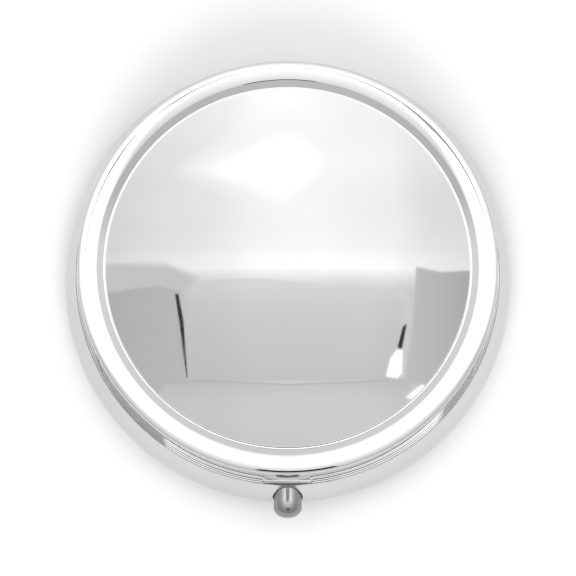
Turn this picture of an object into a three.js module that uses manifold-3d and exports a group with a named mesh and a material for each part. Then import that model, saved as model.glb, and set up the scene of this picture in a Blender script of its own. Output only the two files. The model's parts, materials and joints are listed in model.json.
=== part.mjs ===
// Round pill box: bombe base, hinged lid with a domed inlay, push-button latch.
// Millimetres, +Z up. Origin: centre of the flat underside. Button towards -Y, hinge at +Y.
import * as THREE from "three";
import { mergeVertices } from "three/addons/utils/BufferGeometryUtils.js";
import Module from "manifold-3d";

const wasm = await Module();
wasm.setup();

// ---- driving dimensions -------------------------------------------------------------------
const TURNED_SEGMENTS = 64;
const SMALL_SEGMENTS = 20;
const RIVET_SEGMENTS = 10;

// base shell, as [radius, height]: two Bezier curves meeting at the widest point, then a straight
// shoulder up to a fine seam just outside the flat rim; the inner face is points on a smooth curve
const BASE_BOWL = [[21.5, 0], [24.3, 0.3], [26.0, 2.0], [26.0, 4.4]];
const BASE_WAIST = [[26.0, 4.4], [26.0, 5.6], [25.72, 6.4], [25.2, 7.2]];
const BASE_LIP = [[24.58, 8.15], [24.52, 8.32], [24.46, 8.33], [24.36, 8.2], [24.28, 8.33]];
const BASE_INNER = [
  [21.3, 0.8], [22.9, 1.15], [24.2, 2.2], [24.98, 3.8], [25.2, 5.3], [25.05, 6.6], [24.35, 7.8],
];
const BASE_RIM_Z = 8.33;
const RIM_BORE_R = 23.22;
const FLOOR_Z = 0.8;

// locating collar pressed into the rim
const COLLAR_R_OUT = 23.2;
const COLLAR_R_IN = 22.5;
const COLLAR_Z = [3.2, 10.2];
const COLLAR_GAP_HALF = 2.9;

// tray with three wells
const TRAY_R = 21.6;
const TRAY_FLANGE_R = 22.25;
const TRAY_Z = [0.82, 9.3];
const TRAY_FLANGE_T = 0.6;
const TRAY_FLOOR_T = 0.95;
const WELL_R = 20.7;
const WELL_RIB_HALF = 0.5;
const WELL_COUNT = 3;
const POCKET_HALF = 3.4;
const POCKET_Y = -18.5;
const POCKET_WALL = 0.9;
const SLOT_HALF = 2.4;
const SLOT_Y = -20.9;

// lid shell: straight skirt, then a rounded ring falling gently from its crest to the inlay. The
// ring is arcs that join smoothly, each [radius, turn at its end], turns being from +Z to the axis.
const LID_R = 24.1;
const SKIRT_Z = 8.8;
const RING_FOOT_Z = 12.995;
const RING_ARCS = [[1.06, -0.122], [0.3, 0.14], [5.1, 0.384], [0.5, 0.628]];
const LID_FOOT = [[20.97, 13.06], [20.95, 13.0]];
const LID_INNER = [
  [0, 12.3], [21.1, 12.3], [21.75, 12.75], [22.2, 13.2], [22.8, 13.32], [23.2, 13.0], [23.4, 12.3],
  [23.5, 10.6], [23.45, 8.8],
];
const LID_FLOOR_Z = 13.0;
const LID_CEILING_Z = 12.3;

// thumb lip: [y, z] section and half widths at its foot and top
const LIP_SECTION = [[-23.9, 8.84], [-24.4, 8.84], [-24.42, 8.95], [-24.1, 9.75], [-23.9, 9.75]];
const LIP_HALF = [2.4, 2.95];

// inlay, mirror and what holds them
const INLAY_R = 20.85;
const INLAY_EDGE_Z = 13.25;
const INLAY_TOP_Z = 14.05;
const GLUE_T = 0.1;
const INLAY_GLUE_R = 19.4;
const MIRROR_R = 18.5;
const MIRROR_T = 1.0;
const MIRROR_GLUE_R = 17.5;
const BEZEL_R = [17.95, 18.6, 19.3];
const BEZEL_Z = [10.9, 11.15];

// hinge
const HINGE_Y = 23.75;
const HINGE_Z = 8.7;
const KNUCKLE_R = 0.8;
const KNUCKLE_BORE_R = 0.385;
const PIN_R = 0.35;
const BASE_KNUCKLE_X = [2.9, 4.5];
const LID_KNUCKLE_X = [1.4, 2.8];
const NOTCH_HALF = 4.9;
const NOTCH_BASE_Z = 7.65;
const NOTCH_LID_Z = 9.95;
const SPRING_MEAN_R = 0.6;
const SPRING_WIRE_R = 0.12;
const SPRING_HALF = 1.15;
const SPRING_TURNS = 6.25;

// rivets and folded straps
const RIVET_R = 0.3;
const RIVET_HOLE_R = 0.33;
const RIVET_HEAD_R = 0.58;
const RIVET_HEAD_T = 0.3;
const STRAP_T = 0.6;
const STRAP_END_Y = 19.5;
const LID_RIVET_Y = 20.1;

// push button and latch
const BUTTON_Z = 6.15;
const BUTTON_R = 1.62;
const BUTTON_HOLE_R = 1.74;
const BUTTON_PROFILE = [[0, 28.1], [0.6, 28.02], [1.1, 27.78], [1.45, 27.42], [1.62, 27.05]];
const BUTTON_BACK_Y = -23.5;
const EAR_HALF = 2.25;
const EAR_Z = [5.4, 6.9];
const EAR_BACK_Y = -23.05;
const STEM_R = 0.75;
const STEM_SOCKET_Y = -24.5;
const STEM_TIP_Y = -21.0;
const BUSH_R = 2.3;
const BUSH_BORE_R = 1.7;
const BUSH_BACK_Y = -23.6;
const LATCH_HALF = 1.75;
const LATCH_Y = [-20.9, -20.5];
const LATCH_FOOT_Y = -18.9;
const LATCH_FOOT_T = 0.3;
const LATCH_ARM_Z = [1.2, 8.15];
const LATCH_HOOK_Y = -21.9;
const LATCH_HOOK_Z = 7.65;
const LATCH_RIVET = [1.0, -19.6];
const CATCH_HALF = 2.0;
const CATCH_Y = [-22.6, -22.0];
const CATCH_NOSE_Y = -21.3;
const CATCH_Z = [7.1, 7.6];
const CATCH_RIVET_X = 1.3;
const LID_HINGE_RIVET_X = 1.8;
const BASE_RIVET_ANGLE = 0.148;
const BASE_RIVET_Z = 5.6;

// ---- geometry helpers ---------------------------------------------------------------------

// A Manifold solid from a closed three.js geometry, whichever way round its faces were.
function solid(geometry) {
  const bare = new THREE.BufferGeometry();
  bare.setAttribute("position", geometry.getAttribute("position"));
  bare.setIndex(geometry.getIndex());
  const merged = mergeVertices(bare, 1e-4);
  const index = merged.getIndex().array;
  const faces = [];
  for (let i = 0; i < index.length; i += 3) {
    const [a, b, c] = [index[i], index[i + 1], index[i + 2]];
    if (a !== b && b !== c && c !== a) {
      faces.push(a, b, c);
    }
  }
  const vertProperties = new Float32Array(merged.getAttribute("position").array);
  const build = (list) =>
    new wasm.Manifold(new wasm.Mesh({ numProp: 3, vertProperties, triVerts: new Uint32Array(list) }));
  const made = build(faces);
  return made.volume() > 0 ? made : build(faces.reverse());
}

// A three.js mesh with its own material from a Manifold solid.
function piece(name, body, colour, roughness, metalness) {
  const { vertProperties, triVerts } = body.getMesh();
  const geometry = new THREE.BufferGeometry();
  geometry.setAttribute("position", new THREE.BufferAttribute(new Float32Array(vertProperties), 3));
  geometry.setIndex(new THREE.BufferAttribute(new Uint32Array(triVerts), 1));
  geometry.computeVertexNormals();
  const mesh = new THREE.Mesh(
    geometry,
    new THREE.MeshStandardMaterial({ color: colour, roughness, metalness }),
  );
  mesh.name = name;
  return mesh;
}

// A solid of revolution about Z from a closed [radius, height] profile.
function turned(profile, segments = TURNED_SEGMENTS) {
  const points = profile.map(([r, z]) => new THREE.Vector2(r, z));
  if (profile[0][0] !== 0 || profile[profile.length - 1][0] !== 0) {
    points.push(points[0].clone());
  }
  return solid(new THREE.LatheGeometry(points, segments).rotateX(Math.PI / 2));
}

// A ring of rectangular section about Z.
function ring(rIn, rOut, z0, z1) {
  return turned([[rIn, z0], [rOut, z0], [rOut, z1], [rIn, z1]]);
}

// A round disc or post about Z, moved to x, y.
function post(r, z0, z1, x = 0, y = 0, segments = TURNED_SEGMENTS) {
  return turned([[0, z0], [r, z0], [r, z1], [0, z1]], segments).translate([x, y, 0]);
}

// An upright solid of revolution turned to lie along +Y, its axis at height z.
function alongY(profile, z, segments = SMALL_SEGMENTS) {
  return turned(profile, segments).rotate([-90, 0, 0]).translate([0, 0, z]);
}

// A round bar along X through the hinge axis.
function hingeBar(r, x0, x1, segments = SMALL_SEGMENTS) {
  return post(r, x0, x1, 0, 0, segments).rotate([0, 90, 0]).translate([0, HINGE_Y, HINGE_Z]);
}

// A box between two corners.
function block(x0, x1, y0, y1, z0, z1) {
  const box = new THREE.BoxGeometry(x1 - x0, y1 - y0, z1 - z0);
  return solid(box.translate((x0 + x1) / 2, (y0 + y1) / 2, (z0 + z1) / 2));
}

// A side outline of [y, z] points, given width along X from x0 to x1.
function sideways(outline, x0, x1) {
  const shape = new THREE.Shape(outline.map(([y, z]) => new THREE.Vector2(y, z)));
  const bar = new THREE.ExtrudeGeometry(shape, { depth: x1 - x0, bevelEnabled: false });
  return solid(bar.rotateX(Math.PI / 2).rotateZ(Math.PI / 2).translate(x0, 0, 0));
}

// Points along a smooth curve through [radius, height] pairs.
function smooth(pairs, count) {
  const curve = new THREE.SplineCurve(pairs.map(([r, z]) => new THREE.Vector2(r, z)));
  return curve.getPoints(count).map((p) => [p.x, p.y]);
}

// Points along a cubic Bezier curve given by its four [radius, height] control points.
function bezier(controls, count) {
  const curve = new THREE.CubicBezierCurve(...controls.map(([r, z]) => new THREE.Vector2(r, z)));
  return curve.getPoints(count).map((p) => [p.x, p.y]);
}

// Points along arcs that join smoothly, from a start point whose outward normal has the given turn.
function arcChain([r, z], startTurn, arcs, count) {
  const points = [[r, z]];
  let [at, from] = [[r, z], startTurn];
  for (const [radius, to] of arcs) {
    const centre = [at[0] + radius * Math.sin(from), at[1] - radius * Math.cos(from)];
    for (let i = 1; i <= count; i += 1) {
      const a = from + ((to - from) * i) / count;
      points.push([centre[0] - radius * Math.sin(a), centre[1] + radius * Math.cos(a)]);
    }
    [at, from] = [points[points.length - 1], to];
  }
  return points;
}

// A rivet standing on Z: plain shank from z0, round head at its top or bottom end.
function rivet(zTail, zHead, x = 0, y = 0) {
  const up = Math.sign(zHead - zTail);
  const under = zHead - up * RIVET_HEAD_T;
  const profile = [
    [0, zTail], [RIVET_R, zTail], [RIVET_R, under], [RIVET_HEAD_R, under],
    [RIVET_HEAD_R, zHead - up * 0.12], [RIVET_HEAD_R * 0.7, zHead], [0, zHead],
  ];
  return turned(profile, RIVET_SEGMENTS).translate([x, y, 0]);
}

function both(make) {
  return make(-1).add(make(1));
}

// Clearance holes for the four rivets that hold the hinge leaf and the catch to the lid.
function lidRivetHoles() {
  const [z0, z1] = [LID_CEILING_Z - 1, LID_FLOOR_Z + 1];
  const hole = (x, y) => post(RIVET_HOLE_R, z0, z1, x, y, RIVET_SEGMENTS);
  return both((side) =>
    hole(side * CATCH_RIVET_X, -LID_RIVET_Y).add(hole(side * LID_HINGE_RIVET_X, LID_RIVET_Y)),
  );
}

// ---- base ---------------------------------------------------------------------------------

function baseCavity(clearance = 0) {
  const inner = smooth(BASE_INNER, 8).map(([r, z]) => [r - clearance, z + clearance * (z < 2 ? 1 : 0)]);
  const top = BASE_INNER[BASE_INNER.length - 1][1] - clearance;
  inner[inner.length - 1][1] = top;
  return turned([[0, inner[0][1]], ...inner, [0, top]]);
}

function baseShell() {
  const profile = [
    [0, 0], ...bezier(BASE_BOWL, 7), ...bezier(BASE_WAIST, 5).slice(1), ...BASE_LIP, [0, BASE_RIM_Z],
  ];
  let body = turned(profile)
    .subtract(baseCavity())
    .subtract(post(RIM_BORE_R, 7, BASE_RIM_Z + 1))
    .subtract(block(-NOTCH_HALF, NOTCH_HALF, 22.6, 28, NOTCH_BASE_Z, BASE_RIM_Z + 1))
    .subtract(alongY([[0, -30], [BUTTON_HOLE_R, -30], [BUTTON_HOLE_R, -24], [0, -24]], BUTTON_Z));
  for (const side of [-1, 1]) {
    body = body.subtract(
      post(RIVET_HOLE_R, -1, 2, side * LATCH_RIVET[0], LATCH_RIVET[1], RIVET_SEGMENTS),
    );
  }
  return body;
}

function radialRivetTool(tool, side) {
  const degrees = (-side * BASE_RIVET_ANGLE * 180) / Math.PI;
  return tool.rotate([-90, 0, 0]).translate([0, 0, BASE_RIVET_Z]).rotate([0, 0, degrees]);
}

function baseRivetHoles() {
  return both((side) => radialRivetTool(post(RIVET_HOLE_R, 20, 26, 0, 0, RIVET_SEGMENTS), side));
}

function baseCollar() {
  return ring(COLLAR_R_IN, COLLAR_R_OUT, ...COLLAR_Z)
    .subtract(block(-COLLAR_GAP_HALF, COLLAR_GAP_HALF, -25, -20, 0, 12))
    .subtract(block(-NOTCH_HALF, NOTCH_HALF, 20, 25, NOTCH_BASE_Z, 12))
    .subtract(baseRivetHoles());
}

// One well: a sector with rounded corners, kept clear of the latch pocket.
function wellOutline(from, to) {
  const points = [];
  const steps = 12;
  const inset = (r) => Math.asin(WELL_RIB_HALF / r);
  for (let i = 0; i <= steps; i += 1) {
    const a = from + inset(WELL_R) + ((to - from - 2 * inset(WELL_R)) * i) / steps;
    points.push(new THREE.Vector2(WELL_R * Math.cos(a), WELL_R * Math.sin(a)));
  }
  const middle = (from + to) / 2;
  const apex = WELL_RIB_HALF / Math.sin((to - from) / 2);
  points.push(new THREE.Vector2(apex * Math.cos(middle), apex * Math.sin(middle)));
  return new THREE.Shape(points);
}

function tray() {
  const [z0, z1] = TRAY_Z;
  const flangeZ = z1 - TRAY_FLANGE_T;
  let body = turned([
    [0, z0], [20.3, z0], [TRAY_R, z0 + 1.3], [TRAY_R, flangeZ],
    [TRAY_FLANGE_R, flangeZ], [TRAY_FLANGE_R, z1], [0, z1],
  ]);
  const wall = block(
    -POCKET_HALF - POCKET_WALL, POCKET_HALF + POCKET_WALL, -25, POCKET_Y + POCKET_WALL, 0, z1 + 1,
  );
  for (let k = 0; k < WELL_COUNT; k += 1) {
    const from = -Math.PI / 2 + (k * 2 * Math.PI) / WELL_COUNT;
    const outline = wellOutline(from, from + (2 * Math.PI) / WELL_COUNT);
    const well = new THREE.ExtrudeGeometry(outline, { depth: 12, bevelEnabled: false });
    body = body.subtract(solid(well.translate(0, 0, z0 + TRAY_FLOOR_T)).subtract(wall));
  }
  return body
    .subtract(block(-POCKET_HALF, POCKET_HALF, -25, POCKET_Y, 0, flangeZ))
    .subtract(block(-SLOT_HALF, SLOT_HALF, -25, SLOT_Y, 0, z1 + 1));
}

// ---- hinge --------------------------------------------------------------------------------

function knuckles([x0, x1], neck) {
  const bore = hingeBar(KNUCKLE_BORE_R, -6, 6);
  return both((side) => {
    const [a, b] = side > 0 ? [x0, x1] : [-x1, -x0];
    return hingeBar(KNUCKLE_R, a, b).add(sideways(neck, a, b));
  }).subtract(bore);
}

function baseHingeLeaf() {
  const half = BASE_KNUCKLE_X[1];
  const leaf = ring(COLLAR_R_OUT + 0.05, COLLAR_R_OUT + 0.55, 4.4, 7.5)
    .intersect(block(-half, half, 20, 26, 4, 8))
    .subtract(baseRivetHoles());
  const neck = [[23.12, 7.0], [23.9, 7.0], [24.0, 8.25], [23.15, 8.25]];
  return leaf.add(knuckles(BASE_KNUCKLE_X, neck));
}

function lidHingeLeaf() {
  const half = LID_KNUCKLE_X[1];
  const [y0, y1] = [22.45, 22.95];
  const foot = [
    [STRAP_END_Y, LID_CEILING_Z - STRAP_T], [y0, LID_CEILING_Z - STRAP_T], [y0, 9.5], [y1, 9.5],
    [y1, LID_CEILING_Z], [STRAP_END_Y, LID_CEILING_Z],
  ];
  const arm = [[y0, 9.0], [23.55, 9.0], [23.75, 9.45], [y1, 9.7], [y0, 9.7]];
  const leaf = sideways(foot, -half, half).add(knuckles(LID_KNUCKLE_X, arm));
  return leaf.subtract(lidRivetHoles());
}

function hingePin() {
  const half = BASE_KNUCKLE_X[1] + 0.03;
  const end = half + 0.2;
  const profile = [
    [0, -end], [0.4, -end], [0.52, -end + 0.08], [0.52, -half], [PIN_R, -half],
    [PIN_R, half], [0.52, half], [0.52, end - 0.08], [0.4, end], [0, end],
  ];
  return turned(profile, 16).rotate([0, 90, 0]).translate([0, HINGE_Y, HINGE_Z]);
}

// Torsion spring: one leg down behind the base rim, one leg in under the lid's hinge leaf.
function hingeSpring() {
  const points = [];
  for (const z of [6.7, 7.4, 8.1]) {
    points.push(new THREE.Vector3(-SPRING_HALF, HINGE_Y + SPRING_MEAN_R, z));
  }
  const steps = Math.round(SPRING_TURNS * 8);
  for (let i = 0; i <= steps; i += 1) {
    const a = (i / 8) * 2 * Math.PI;
    points.push(
      new THREE.Vector3(
        -SPRING_HALF + (2 * SPRING_HALF * i) / steps,
        HINGE_Y + SPRING_MEAN_R * Math.cos(a),
        HINGE_Z + SPRING_MEAN_R * Math.sin(a),
      ),
    );
  }
  for (const y of [23.3, 22.85, 22.4]) {
    points.push(new THREE.Vector3(SPRING_HALF, y, HINGE_Z + SPRING_MEAN_R));
  }
  const section = new THREE.Shape();
  section.absarc(0, 0, SPRING_WIRE_R, 0, 2 * Math.PI);
  const wire = new THREE.ExtrudeGeometry(section, {
    curveSegments: 6,
    steps: points.length,
    bevelEnabled: false,
    extrudePath: new THREE.CatmullRomCurve3(points),
  });
  return solid(wire);
}

// ---- lid ----------------------------------------------------------------------------------

// Shallow flare on the skirt edge for a thumbnail, narrower at its foot.
function thumbLip() {
  const [foot, top] = LIP_HALF;
  const [z0, z1] = [LIP_SECTION[0][1], LIP_SECTION[3][1]];
  const corners = [[-foot, z0], [foot, z0], [top, z1], [-top, z1]];
  const face = new THREE.Shape(corners.map(([x, z]) => new THREE.Vector2(x, z)));
  const bar = new THREE.ExtrudeGeometry(face, { depth: 2, bevelEnabled: false });
  const trapezoid = solid(bar.rotateX(Math.PI / 2).translate(0, -23.2, 0));
  return sideways(LIP_SECTION, -top, top).intersect(trapezoid);
}

function lidShell() {
  const ringFace = arcChain([LID_R, RING_FOOT_Z], -Math.PI / 2, RING_ARCS, 3);
  const body = turned([[LID_R, SKIRT_Z], ...ringFace, ...LID_FOOT, [0, LID_FLOOR_Z], ...LID_INNER])
    .add(thumbLip())
    .subtract(block(-NOTCH_HALF, NOTCH_HALF, 22, 26, 8, NOTCH_LID_Z));
  return body.subtract(lidRivetHoles());
}

// Shallow dome with a flat back.
function lidInlay() {
  const rise = INLAY_TOP_Z - INLAY_EDGE_Z;
  const profile = [[0, LID_FLOOR_Z + GLUE_T], [INLAY_R, LID_FLOOR_Z + GLUE_T]];
  for (const share of [1, 0.85, 0.65, 0.4, 0]) {
    profile.push([INLAY_R * share, INLAY_EDGE_Z + rise * (1 - share * share)]);
  }
  return turned(profile);
}

function mirrorBezel() {
  const [rLip, rSeat, rOut] = BEZEL_R;
  const [z0, z1] = BEZEL_Z;
  return turned([
    [rLip, z0], [rOut - 0.3, z0], [rOut, z0 + 0.3], [rOut, LID_CEILING_Z],
    [rSeat, LID_CEILING_Z], [rSeat, z1], [rLip, z1],
  ]);
}

// Folded strap hanging from the lid, with a nose that the latch hooks over.
function lidCatch() {
  const [y0, y1] = CATCH_Y;
  const [z0, z1] = CATCH_Z;
  const outline = [
    [-STRAP_END_Y, LID_CEILING_Z], [y0, LID_CEILING_Z], [y0, z0], [CATCH_NOSE_Y - 0.35, z0],
    [CATCH_NOSE_Y, z0 + 0.3], [CATCH_NOSE_Y, z1], [y1, z1], [y1, LID_CEILING_Z - STRAP_T],
    [-STRAP_END_Y, LID_CEILING_Z - STRAP_T],
  ];
  return sideways(outline, -CATCH_HALF, CATCH_HALF).subtract(lidRivetHoles());
}

// ---- button and latch ---------------------------------------------------------------------

function buttonCap() {
  const nose = BUTTON_PROFILE.map(([r, y]) => [r, -y]);
  const body = alongY([...nose, [BUTTON_R, BUTTON_BACK_Y], [0, BUTTON_BACK_Y]], BUTTON_Z, 24);
  const ears = block(-EAR_HALF, EAR_HALF, BUTTON_BACK_Y - 0.02, EAR_BACK_Y, ...EAR_Z);
  const r = STEM_R + 0.02;
  const socket = [[0, STEM_SOCKET_Y], [r, STEM_SOCKET_Y], [r, -22], [0, -22]];
  return body.add(ears).subtract(alongY(socket, BUTTON_Z, 16));
}

function buttonStem() {
  const tip = [
    [STEM_R, STEM_TIP_Y - STEM_R], [STEM_R * 0.8, STEM_TIP_Y - 0.3], [STEM_R * 0.4, STEM_TIP_Y - 0.06],
  ];
  const back = STEM_SOCKET_Y + 0.02;
  return alongY([[0, back], [STEM_R, back], ...tip, [0, STEM_TIP_Y]], BUTTON_Z, 16);
}

function buttonBush() {
  const front = -26;
  const tube = [
    [BUSH_BORE_R, front], [BUSH_R, front], [BUSH_R, BUSH_BACK_Y], [BUSH_BORE_R, BUSH_BACK_Y],
  ];
  return alongY(tube, BUTTON_Z).intersect(baseCavity(0.04));
}

function latchFoot() {
  let foot = block(
    -LATCH_HALF, LATCH_HALF, LATCH_Y[0], LATCH_FOOT_Y, FLOOR_Z + 0.01, FLOOR_Z + LATCH_FOOT_T,
  );
  for (const side of [-1, 1]) {
    foot = foot.subtract(
      post(RIVET_HOLE_R, 0, 2, side * LATCH_RIVET[0], LATCH_RIVET[1], RIVET_SEGMENTS),
    );
  }
  return foot;
}

function latchArm() {
  const [y0, y1] = LATCH_Y;
  const [z0, z1] = LATCH_ARM_Z;
  const outline = [
    [y0, z0], [y1, z0], [y1, z1], [LATCH_HOOK_Y + 0.4, z1], [LATCH_HOOK_Y, LATCH_HOOK_Z + 0.12],
    [LATCH_HOOK_Y, LATCH_HOOK_Z], [y0, LATCH_HOOK_Z],
  ];
  return sideways(outline, -LATCH_HALF, LATCH_HALF);
}

// ---- assembly -----------------------------------------------------------------------------

const CHROME = 0xdfe1e3;
const STEEL = 0xb9bcc0;
const DARK = 0x4a4b4e;
const box = new THREE.Group();
box.name = "pill_box";

function addPolished(name, body) {
  box.add(piece(name, body, CHROME, 0.08, 1));
}

function addSteel(name, body) {
  box.add(piece(name, body, STEEL, 0.35, 1));
}

function addGlue(name, body) {
  box.add(piece(name, body, 0xd8d2b8, 0.6, 0));
}

addPolished("base_shell", baseShell());
addSteel("base_collar", baseCollar());
box.add(piece("compartment_tray", tray(), 0xf1efe9, 0.45, 0));
addPolished("base_hinge_leaf", baseHingeLeaf());
addSteel("hinge_pin", hingePin());
addSteel("hinge_spring", hingeSpring());
box.add(piece("button_bush", buttonBush(), 0xb08d4a, 0.35, 1));
addSteel("latch_foot", latchFoot());
addSteel("latch_arm", latchArm());
box.add(piece("button_cap", buttonCap(), DARK, 0.15, 1));
addSteel("button_stem", buttonStem());

addPolished("lid_shell", lidShell());
addPolished("lid_inlay", lidInlay());
addGlue("inlay_adhesive", post(INLAY_GLUE_R, LID_FLOOR_Z, LID_FLOOR_Z + GLUE_T));
addPolished("mirror_bezel", mirrorBezel());
const mirrorTop = LID_CEILING_Z - GLUE_T;
box.add(piece("mirror", post(MIRROR_R, mirrorTop - MIRROR_T, mirrorTop), 0xcfd8dc, 0.02, 1));
addGlue("mirror_adhesive", post(MIRROR_GLUE_R, mirrorTop, LID_CEILING_Z));
addPolished("lid_hinge_leaf", lidHingeLeaf());
addSteel("lid_catch", lidCatch());

const headZ = LID_CEILING_Z - STRAP_T - RIVET_HEAD_T;
const tailZ = LID_FLOOR_Z - 0.02;
for (const [side, sign] of [["left", -1], ["right", 1]]) {
  addSteel(`base_hinge_rivet_${side}`, radialRivetTool(rivet(23.8, 22.1), sign));
  addSteel(`latch_rivet_${side}`, rivet(0.02, 1.4, sign * LATCH_RIVET[0], LATCH_RIVET[1]));
  addSteel(`lid_hinge_rivet_${side}`, rivet(tailZ, headZ, sign * LID_HINGE_RIVET_X, LID_RIVET_Y));
  addSteel(`catch_rivet_${side}`, rivet(tailZ, headZ, sign * CATCH_RIVET_X, -LID_RIVET_Y));
}

export default box;
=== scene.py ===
"""Round polished pill box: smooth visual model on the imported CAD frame, in a plain pale studio."""
import json
import math

import bmesh
import bpy
from mathutils import Matrix, Vector


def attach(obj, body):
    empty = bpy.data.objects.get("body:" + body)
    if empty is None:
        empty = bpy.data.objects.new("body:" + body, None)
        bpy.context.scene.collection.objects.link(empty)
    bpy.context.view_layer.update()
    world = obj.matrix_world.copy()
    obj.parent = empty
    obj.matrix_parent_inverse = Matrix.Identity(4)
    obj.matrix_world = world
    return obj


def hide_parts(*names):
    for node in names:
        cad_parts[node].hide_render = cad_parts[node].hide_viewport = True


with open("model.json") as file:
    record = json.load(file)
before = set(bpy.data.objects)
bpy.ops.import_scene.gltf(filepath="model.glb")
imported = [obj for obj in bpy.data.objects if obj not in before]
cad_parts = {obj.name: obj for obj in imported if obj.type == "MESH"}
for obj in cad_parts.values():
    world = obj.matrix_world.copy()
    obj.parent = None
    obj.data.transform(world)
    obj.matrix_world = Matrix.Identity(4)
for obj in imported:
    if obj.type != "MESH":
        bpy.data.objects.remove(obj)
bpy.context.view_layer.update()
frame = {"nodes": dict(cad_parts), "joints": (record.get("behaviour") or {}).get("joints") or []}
MM = 0.001

# ---- dimensions in millimetres: the CAD model's, with a finer base lip, lid rim and thumb lip -----------

SEGMENTS = 288
BASE_BOWL = [(21.5, 0), (24.3, 0.3), (26.0, 2.0), (26.0, 4.4)]
BASE_WAIST = [(26.0, 4.4), (26.0, 5.6), (25.72, 6.4), (25.2, 7.2)]
BASE_LIP = [(24.6, 8.1), (24.57, 8.28), (24.53, 8.3), (24.45, 8.12), (24.34, 8.12), (24.26, 8.33)]
BASE_INNER = [
    (21.3, 0.8), (22.9, 1.15), (24.2, 2.2), (24.98, 3.8), (25.2, 5.3), (25.05, 6.6), (24.35, 7.8),
]
RIM_Z = 8.33
RIM_BORE = 23.22
FLOOR_Z = 0.8
COLLAR_R = (22.5, 23.2)
COLLAR_Z = (3.2, 10.2)
COLLAR_GAP_HALF = 2.9

TRAY_R = 21.6
FLANGE_R = 22.25
TRAY_Z = (0.82, 9.3)
FLANGE_Z = 8.7
WELL_FLOOR_Z = 1.77
WELL_R = 20.7
WELL_CORNER = 0.75
WELL_FLOOR_FILLET = 1.2
WELL_EDGE_FILLET = 0.22
RIB_HALF = 0.5
POCKET_WALL_HALF = 4.3
POCKET_WALL_Y = 17.6
POCKET_HALF = 3.4
POCKET_Y = -18.5
SLOT_HALF = 2.4
SLOT_Y = -20.9

LID_R = 24.1
SKIRT_Z = 8.8
RING_FOOT_Z = 13.463
RING_BEAD = [(21.1, 13.13), (20.96, 13.1)]
RING_ARCS = [(0.45, -0.436), (2.0, -0.122), (0.03, 0.14), (5.6, 0.384), (0.5, 0.628)]
LID_INNER = [
    (21.1, 12.3), (21.75, 12.75), (22.2, 13.2), (22.8, 13.32), (23.2, 13.0), (23.4, 12.3), (23.5, 10.6),
    (23.45, 8.8),
]
LIP_HALF = (2.4, 2.95)
LIP_Z = (8.84, 9.4)
LID_FLOOR_Z = 13.0
LID_CEILING_Z = 12.3
INLAY_R = 20.93
INLAY_EDGE_Z = 13.25
INLAY_TOP_Z = 14.05
BEZEL_R = (17.95, 18.6, 19.3)
BEZEL_Z = (10.9, 11.15)
MIRROR_R = 18.5
MIRROR_Z = (11.2, 12.2)

HINGE = Vector(next(j for j in frame["joints"] if j["name"] == "lid_hinge")["pos_m"]) / MM
KNUCKLE_R = 0.8
KNUCKLE_BORE = 0.385
PIN_R = 0.35
BASE_KNUCKLE = (2.9, 4.5)
LID_KNUCKLE = (1.4, 2.8)
NOTCH_HALF = 4.9
NOTCH_BASE_Z = 7.65
NOTCH_LID_Z = 9.95
SPRING_R = 0.6
SPRING_WIRE = 0.12
SPRING_HALF = 1.15
SPRING_TURNS = 6.25

STRAP_T = 0.6
STRAP_END = 19.5
LID_RIVET = (1.8, 20.1)
CATCH_RIVET = (1.3, -20.1)
RIVET_R = 0.3
RIVET_HOLE_R = 0.33
RIVET_HEAD_R = 0.58
RIVET_HEAD_T = 0.3
BASE_RIVET_ANGLE = 0.148
BASE_RIVET_Z = 5.6
LATCH_RIVET = (1.0, -19.6)
LATCH_HALF = 1.75
LATCH_Y = (-20.9, -20.5)
LATCH_TOP_Z = 8.15
HOOK_Y = -21.9
HOOK_Z = 7.65

BUTTON_Z = 6.15
BUTTON_R = 1.62
BUTTON_HOLE_R = 1.74
BUTTON_BACK_Y = -23.5
EAR_HALF = 2.25
EAR_Y = (-23.52, -23.05)
EAR_Z = (5.4, 6.9)
SOCKET_R = 0.77


# ---- outline helpers ------------------------------------------------------------------------

def smooth(pairs, per):
    """Points along a uniform Catmull-Rom curve through 2-D points."""
    ends = [pairs[0], *pairs, pairs[-1]]
    out = []
    for a, b, c, d in zip(ends, ends[1:], ends[2:], ends[3:]):
        for k in range(per):
            t = k / per
            out.append(tuple(
                0.5 * (2 * q + (r - p) * t + (2 * p - 5 * q + 4 * r - s) * t * t
                       + (3 * q - p - 3 * r + s) * t ** 3)
                for p, q, r, s in zip(a, b, c, d)
            ))
    return out + [tuple(pairs[-1])]


def bezier(a, b, c, d, steps):
    """Points along a cubic Bezier curve in the plane."""
    out = []
    for k in range(steps + 1):
        t = k / steps
        s = 1 - t
        out.append(tuple(
            s ** 3 * p + 3 * s * s * t * q + 3 * s * t * t * r + t ** 3 * w for p, q, r, w in zip(a, b, c, d)
        ))
    return out


def arc_chain(start, turn, arcs, steps):
    """Half-profile along arcs that join smoothly; turns are of the outward normal, from +Z to the axis."""
    points = [start]
    for radius, end in arcs:
        r, z = points[-1]
        centre = (r + radius * math.sin(turn), z - radius * math.cos(turn))
        for k in range(1, steps + 1):
            a = turn + (end - turn) * k / steps
            points.append((centre[0] - radius * math.sin(a), centre[1] + radius * math.cos(a)))
        turn = end
    return points


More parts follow.
